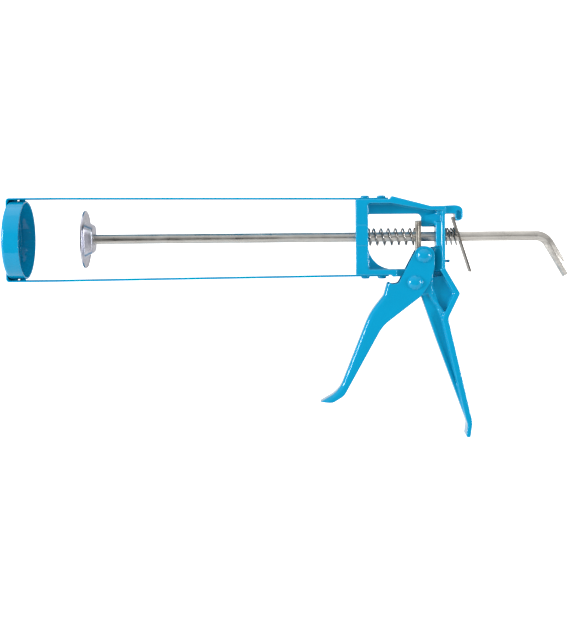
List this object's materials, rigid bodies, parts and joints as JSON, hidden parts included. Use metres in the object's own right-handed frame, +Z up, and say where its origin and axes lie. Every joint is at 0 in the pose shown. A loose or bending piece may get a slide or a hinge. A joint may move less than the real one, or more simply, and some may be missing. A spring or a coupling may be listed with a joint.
{
  "type": "caulking gun",
  "caption": "Hand-operated strap-frame caulking gun: a lever trigger pushes a hexagonal rod and disc that empty a sealant cartridge.",
  "frame": {"origin": "centre of the nozzle opening, on the push rod's axis, at the front face of the ring", "axes": "+X runs along the push rod from the ring to the rod's hooked end; +Z points up, away from the handle; +Y is to the side"},
  "size_m": [0.3742, 0.052, 0.1603],
  "materials": {
    "blue_paint": "gloss",
    "blue_paint_casting": "gloss",
    "rod_steel": "satin",
    "plate_steel": "satin",
    "spring_steel": "bright",
    "zinc_plate": "satin"
  },
  "bodies": {
    "frame": {"front_ring": "blue_paint", "top_strap": "blue_paint", "bottom_strap": "blue_paint", "body_casting": "blue_paint_casting", "main_spring": "spring_steel", "release_spring": "spring_steel"},
    "trigger": {"trigger_lever": "blue_paint", "trigger_pivot_rivet": "blue_paint", "drive_pin_rivet": "blue_paint"},
    "drive_plates": {"drive_plate_front": "plate_steel", "drive_plate_rear": "plate_steel"},
    "plunger": {"push_rod": "rod_steel", "plunger_disc": "zinc_plate", "plunger_washer": "zinc_plate"},
    "release_plate": {"release_plate": "plate_steel"}
  },
  "joints": [
    {"name": "trigger_pivot", "type": "hinge", "parent": "frame", "child": "trigger", "pos_m": [0.2695, 0, -0.0301], "axis": [0, -1, 0], "range_deg": [0, 30], "stiffness_Nm_per_rad": 0.86, "springref_deg": -15.47},
    {"name": "drive_slide", "type": "slide", "parent": "frame", "child": "drive_plates", "axis": [-1, 0, 0], "range_m": [0, 0.0097], "deforming": ["main_spring"]},
    {"name": "plunger_slide", "type": "slide", "parent": "frame", "child": "plunger", "axis": [1, 0, 0], "range_m": [-0.044, 0.17]},
    {"name": "release_hinge", "type": "hinge", "parent": "frame", "child": "release_plate", "pos_m": [0.29501, 0, 0.0125], "axis": [0, 1, 0], "range_deg": [0, 15], "stiffness_Nm_per_rad": 0.35, "springref_deg": -8.59, "deforming": ["release_spring"]}
  ],
  "couplings": [
    {"joint": "drive_slide", "follows": "trigger_pivot", "m_per_rad": 0.0184}
  ]
}
